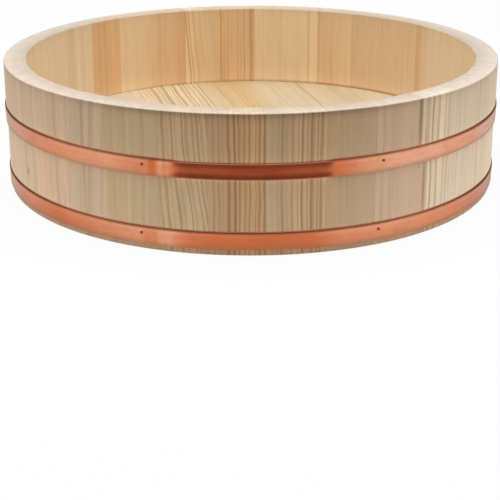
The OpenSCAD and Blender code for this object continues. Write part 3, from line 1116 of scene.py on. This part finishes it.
def make_pins(name, places, outline, material, node):
    """Pins of one outline, each at a place of (angle, radius, height)."""
    points, faces = [], []
    for angle, radius, z in places:
        at, axis = polar(angle, radius, z), polar(angle, 1, 0)
        made, rounds = turned_pin(outline, at, axis, steps=20)
        faces += [tuple(k + len(points) for k in face) for face in rounds]
        points += made
    mesh = bpy.data.meshes.new(name)
    mesh.from_pydata(points, [], faces)
    return points, piece(finished(mesh, sharp_angle=35), material, node)


def make_nails(hoop, material):
    """Small nails with domed heads, pinned through the strip into the staves."""
    z = HOOP_HIGH[hoop] - NAIL_DROP
    radius = strip_face(hoop, z) + STRIP_THICK
    neck = (0.9 * NAIL_RADIUS, NAIL_POINT - NAIL_LENGTH)
    outline = [(0.0, -NAIL_LENGTH), neck, (NAIL_RADIUS, 0.0)]
    outline += dome(NAIL_HEAD_RADIUS, NAIL_HEAD_HEIGHT, steps=6)
    node = hoop + "_nails"
    places = [(angle, radius, z) for angle in nail_angles(hoop)]
    make_pins(node + "_steel", places, outline, material, node)


def make_rivets(hoop, material):
    """Two domed copper rivets through the lap of a strip."""
    z = (HOOP_LOW[hoop] + HOOP_HIGH[hoop]) / 2
    depth = 2 * STRIP_THICK
    radius = strip_face(hoop, z) + depth
    turn = RIVET_STEP / RIM_R
    outline = [(0.0, -depth), (RIVET_RADIUS, -depth), (RIVET_RADIUS, 0.0)]
    outline += dome(RIVET_HEAD_RADIUS, RIVET_HEAD_HEIGHT, steps=8)
    node = hoop + "_rivets"
    places = [(LAP_ANGLE + side * turn / 2, radius, z) for side in (-1, 1)]
    points, rivets = make_pins(node + "_copper", places, outline, material, node)
    tarnish_and_reflection = 0.25
    strip = [(atan2(p.x, -p.y) * RIM_R, p.z, tarnish_and_reflection) for p in points]
    write_vectors(rivets.data, "strip", strip)
    write_vectors(rivets.data, "place", [(0, 0, 0)] * len(points))


# The stage, the light and the camera

def make_floor():
    """A wide square floor, just under the foot."""
    half = 12.0
    under = -0.1 * MM
    corners = [(x * half, y * half, under) for x, y in ((-1, -1), (1, -1), (1, 1), (-1, 1))]
    mesh = bpy.data.meshes.new("floor")
    mesh.from_pydata(corners, [], [(0, 1, 2, 3)])
    mesh.materials.append(floor_material("pale_floor"))
    floor = new_object(mesh)


def make_lamp(name, at, aim, size, radiance):
    """A square soft lamp whose face has a radiance, aimed at a point."""
    lamp = bpy.data.lights.new(name, "AREA")
    lamp.shape = "SQUARE"
    lamp.size = size
    lamp.energy = radiance * pi * size * size
    thing = new_object(lamp)
    thing.location = at
    thing.rotation_euler = (Vector(aim) - Vector(at)).to_track_quat("-Z", "Y").to_euler()


def make_light():
    """A dim white room, with soft lamps above and at both sides."""
    world = bpy.data.worlds.new("room")
    scene.world = world
    t = Tree(world)
    room = t.node("ShaderNodeBackground", {"Color": (1.0, 1.0, 1.0), "Strength": 0.36})
    t.node("ShaderNodeOutputWorld", {"Surface": room.outputs[0]})
    middle = (0.0, 0.0, 0.05)
    make_lamp("lamp_above", (0.0, 0.0, 1.0), middle, size=0.9, radiance=2.9)
    make_lamp("lamp_left", (-1.5, 0.0, 0.75), middle, size=1.1, radiance=2.4)
    make_lamp("lamp_right", (1.5, 0.0, 0.75), middle, size=1.1, radiance=2.4)


# The camera, fitted to the photograph, whose side, focal length and middle of view are in pixels
PHOTO_SIDE = 500.0
PHOTO_FOCAL = 1244.4
PHOTO_MIDDLE = (250.9, 170.1)
CAMERA_BACK = 828.6 * MM
CAMERA_HIGH = 267.1 * MM
CAMERA_DOWN = 17.93
CAMERA_ROLL = -0.09


def make_camera():
    """A camera in front of the tub that looks down at it."""
    lens = bpy.data.cameras.new("camera")
    lens.sensor_width = 36.0
    lens.lens = lens.sensor_width * PHOTO_FOCAL / PHOTO_SIDE
    lens.shift_x = 0.5 - PHOTO_MIDDLE[0] / PHOTO_SIDE
    lens.shift_y = PHOTO_MIDDLE[1] / PHOTO_SIDE - 0.5
    camera = new_object(lens)
    camera.location = (0.0, -CAMERA_BACK, CAMERA_HIGH)
    tilt = Matrix.Rotation(radians(90 - CAMERA_DOWN), 4, "X")
    roll = Matrix.Rotation(radians(CAMERA_ROLL), 4, "Z")
    camera.rotation_euler = (tilt @ roll).to_euler()
    scene.camera = camera


def build():
    """Makes the pieces, gives the CAD frame's pegs their material and sets the stage."""
    draw = random.Random(7)
    stave_wood = wood_material("stave_softwood", late_from=0.28, late_full=0.74)
    bottom_wood = wood_material("bottom_softwood", late_from=0.48, late_full=0.78, round_edge=INNER_R)
    copper = copper_material("satin_copper")
    steel = steel_material("dark_steel")
    bamboo = bamboo_material("split_bamboo")
    for number, node in enumerate(STAVES, 1):
        # Drawn for every stave, so that later draws don't hang on the list
        chance = chance_look(draw)
        make_stave(node, STAVE_LOOKS.get(number, chance), draw, stave_wood)
    for number, node in enumerate(BOARDS):
        make_board(node, number, BOARD_LOOKS[number], draw, bottom_wood)
    for hoop in HOOPS:
        make_hoop(hoop, copper)
        make_nails(hoop, steel)
        make_rivets(hoop, copper)
    for node in ("stave_pegs", "bottom_pegs"):
        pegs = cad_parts[node].data
        pegs.materials.clear()
        pegs.materials.append(bamboo)
    make_floor()
    make_light()
    make_camera()
    scene.view_settings.view_transform = "Standard"


build()
